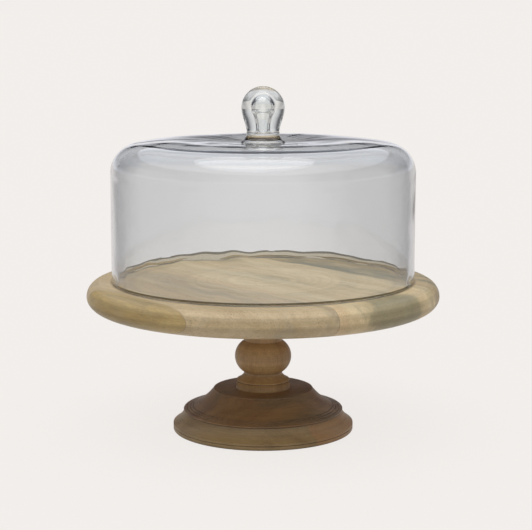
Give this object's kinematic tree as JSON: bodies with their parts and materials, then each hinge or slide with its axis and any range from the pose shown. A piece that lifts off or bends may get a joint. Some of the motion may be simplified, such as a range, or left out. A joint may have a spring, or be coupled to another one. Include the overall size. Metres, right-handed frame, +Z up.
{
  "type": "cake stand with glass dome",
  "caption": "Turned wooden pedestal cake stand with a lift-off clear glass dome topped by a hollow glass knob.",
  "frame": {"origin": "centre of the base at the level of the felt pads' undersides, where the stand rests on a table", "axes": "+Z up along the turned axis, +X to the viewer's right, -Y to the viewer; the board's staves lie side by side along a line 40 degrees from +X"},
  "size_m": [0.3, 0.3, 0.2943],
  "materials": {
    "glass": "clear blown glass, fire-polished",
    "board_wood": "waxed, light brown with grey streaks",
    "base_wood": "waxed dark brown",
    "steel": "zinc-plated",
    "brass": "plain turned",
    "felt": "dense wool felt"
  },
  "bodies": {
    "stand": {"board_stave_edge": "board_wood", "board_stave_left": "board_wood", "board_stave_middle": "board_wood", "board_stave_right": "board_wood", "board_insert": "brass", "hanger_bolt": "steel", "column": "base_wood", "base_plinth": "base_wood", "base_foot": "base_wood", "base_screw": "steel", "foot_pads": "felt"},
    "dome": {"dome_shell": "glass", "dome_knob": "glass"}
  },
  "joints": [
    {"name": "dome_lift", "type": "slide", "parent": "stand", "child": "dome", "axis": [0, 0, 1], "range_m": [0, 0.15]}
  ]
}
